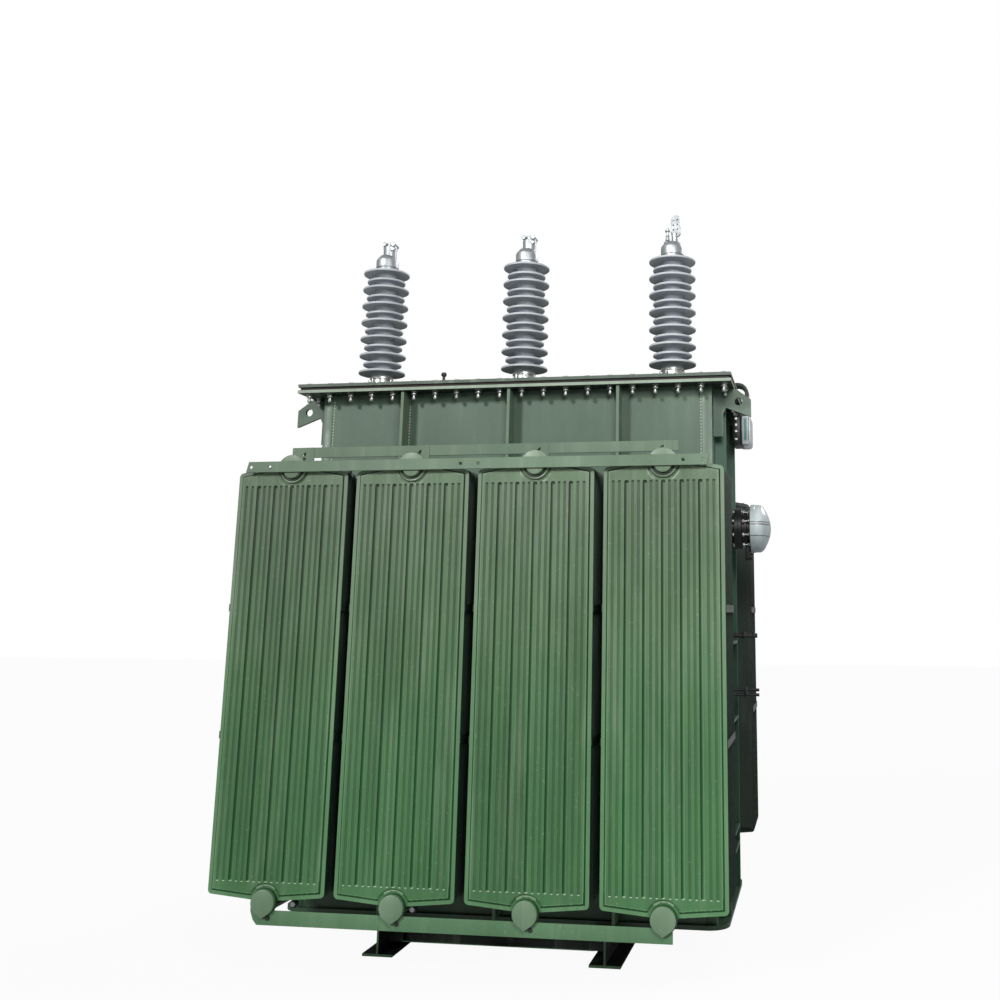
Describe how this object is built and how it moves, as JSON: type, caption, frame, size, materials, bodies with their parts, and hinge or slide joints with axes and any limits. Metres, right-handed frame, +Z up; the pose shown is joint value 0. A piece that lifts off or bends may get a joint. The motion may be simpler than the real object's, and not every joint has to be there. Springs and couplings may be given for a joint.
{
  "type": "oil-filled power transformer with plate radiators",
  "caption": "Oil-filled power transformer: welded tank on two skids, plate radiators along both long sides, ribbed bushings in a row on a bolted cover.",
  "frame": {"origin": "centre of the tank in plan, at floor level under the skids", "axes": "+X along the tank towards the end with the fittings, +Y from the front radiators to the rear ones, +Z up"},
  "size_m": [2.513, 2.26, 3.672],
  "materials": {
    "tank_paint": "satin",
    "radiator_paint": "satin",
    "base_paint": "satin",
    "insulator": "matte",
    "terminal_metal": "satin",
    "grey_fitting": "satin",
    "dark_fitting": "matte"
  },
  "bodies": {
    "root": {"bottom_tie_bars": "tank_paint", "bushing_flanges": "terminal_metal", "bushing_insulators": "insulator", "bushing_terminals": "terminal_metal", "cross_beams": "base_paint", "fin_straps": "tank_paint", "front_stiffeners": "tank_paint", "gauge_base": "dark_fitting", "gauge_box": "grey_fitting", "gauge_conduits": "grey_fitting", "left_end_ribs": "tank_paint", "left_stiffeners": "tank_paint", "lifting_lugs_left": "tank_paint", "lifting_lugs_right": "tank_paint", "radiator_front_1": "radiator_paint", "radiator_front_2": "radiator_paint", "radiator_front_3": "radiator_paint", "radiator_front_4": "radiator_paint", "radiator_pipes": "tank_paint", "radiator_rear_1": "radiator_paint", "radiator_rear_2": "radiator_paint", "radiator_rear_3": "radiator_paint", "radiator_rear_4": "radiator_paint", "rear_stiffeners": "tank_paint", "relief_body": "dark_fitting", "relief_dome": "grey_fitting", "relief_pipe": "dark_fitting", "right_end_ribs": "tank_paint", "right_stiffeners": "tank_paint", "skids": "base_paint", "tank_bottom_plate": "tank_paint", "tank_cover": "tank_paint", "tank_flange_front": "tank_paint", "tank_flange_left": "tank_paint", "tank_flange_rear": "tank_paint", "tank_flange_right": "tank_paint", "tank_front_wall": "tank_paint", "tank_left_wall": "tank_paint", "tank_rear_wall": "tank_paint", "tank_right_wall": "tank_paint", "tie_bar_lugs": "tank_paint", "top_tie_bars": "tank_paint", "upper_tie_bars": "tank_paint", "vent_plug": "dark_fitting"}
  },
  "joints": []
}
